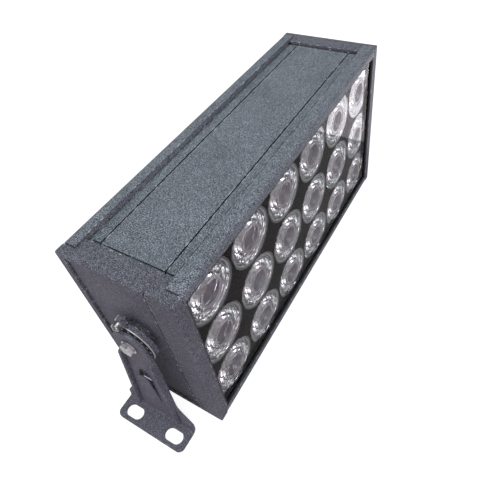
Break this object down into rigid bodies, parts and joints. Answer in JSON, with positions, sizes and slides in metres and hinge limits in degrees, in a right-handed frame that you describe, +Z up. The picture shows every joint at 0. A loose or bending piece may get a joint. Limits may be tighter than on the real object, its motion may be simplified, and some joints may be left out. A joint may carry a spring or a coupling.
{
  "type": "facade light",
  "caption": "Box-shaped outdoor LED floodlight for facades, with round collimator lenses behind a front glass and a slotted foot bracket that turns on each end.",
  "frame": {"origin": "on the plane that the bottom rails stand on, under the middle of the lamp's overall box", "axes": "+X along the long side from the left end cap to the right one, +Y from the lit front glass to the ribbed back, +Z up"},
  "size_m": [0.392, 0.112, 0.168],
  "materials": {
    "housing_coat": "matte",
    "bracket_coat": "matte",
    "front_glass": "gloss",
    "gasket": "matte",
    "mask": "matte",
    "lens": "gloss",
    "holder": "matte",
    "board": "satin",
    "emitter": "satin",
    "bare_aluminium": "satin",
    "driver_case": "matte",
    "terminal": "matte",
    "lead": "matte",
    "black_plastic": "satin",
    "bright_steel": "satin"
  },
  "bodies": {
    "housing": {"left_end_cap": "housing_coat", "right_end_cap": "housing_coat", "top_front_rail": "housing_coat", "top_back_rail": "housing_coat", "bottom_front_rail": "housing_coat", "bottom_back_rail": "housing_coat", "top_panel": "housing_coat", "bottom_panel": "housing_coat", "back_panel": "housing_coat", "front_glass": "front_glass", "glass_gasket": "gasket", "back_gasket": "gasket", "lens_mask": "mask", "lens_1_1": "lens", "lens_1_2": "lens", "lens_1_3": "lens", "lens_1_4": "lens", "lens_1_5": "lens", "lens_1_6": "lens", "lens_2_1": "lens", "lens_2_2": "lens", "lens_2_3": "lens", "lens_2_4": "lens", "lens_2_5": "lens", "lens_2_6": "lens", "lens_3_1": "lens", "lens_3_2": "lens", "lens_3_3": "lens", "lens_3_4": "lens", "lens_3_5": "lens", "lens_3_6": "lens", "lens_holders": "holder", "led_board": "board", "led_emitters": "emitter", "board_screws": "bright_steel", "heat_spreader": "bare_aluminium", "driver": "driver_case", "driver_screws": "bright_steel", "terminal_block": "terminal", "led_lead": "lead", "input_lead": "lead", "gland_body": "black_plastic", "gland_nut": "black_plastic", "gland_seal": "gasket", "gland_lock_nut": "black_plastic", "cap_screws": "bright_steel", "pivot_bolts": "bright_steel", "pivot_washers": "bright_steel", "left_ring_plate": "bright_steel", "right_ring_plate": "bright_steel", "left_lock_ring": "black_plastic", "right_lock_ring": "black_plastic", "earth_washer": "bright_steel", "earth_screw": "bright_steel"},
    "left_bracket": {"left_bracket": "bracket_coat"},
    "right_bracket": {"right_bracket": "bracket_coat"}
  },
  "joints": [
    {"name": "left_pivot", "type": "hinge", "parent": "housing", "child": "left_bracket", "pos_m": [-0.16965, -0.008, 0.1025], "axis": [1, 0, 0], "range_deg": [-90, 90]},
    {"name": "right_pivot", "type": "hinge", "parent": "housing", "child": "right_bracket", "pos_m": [0.16965, -0.008, 0.1025], "axis": [1, 0, 0], "range_deg": [-90, 90]}
  ]
}
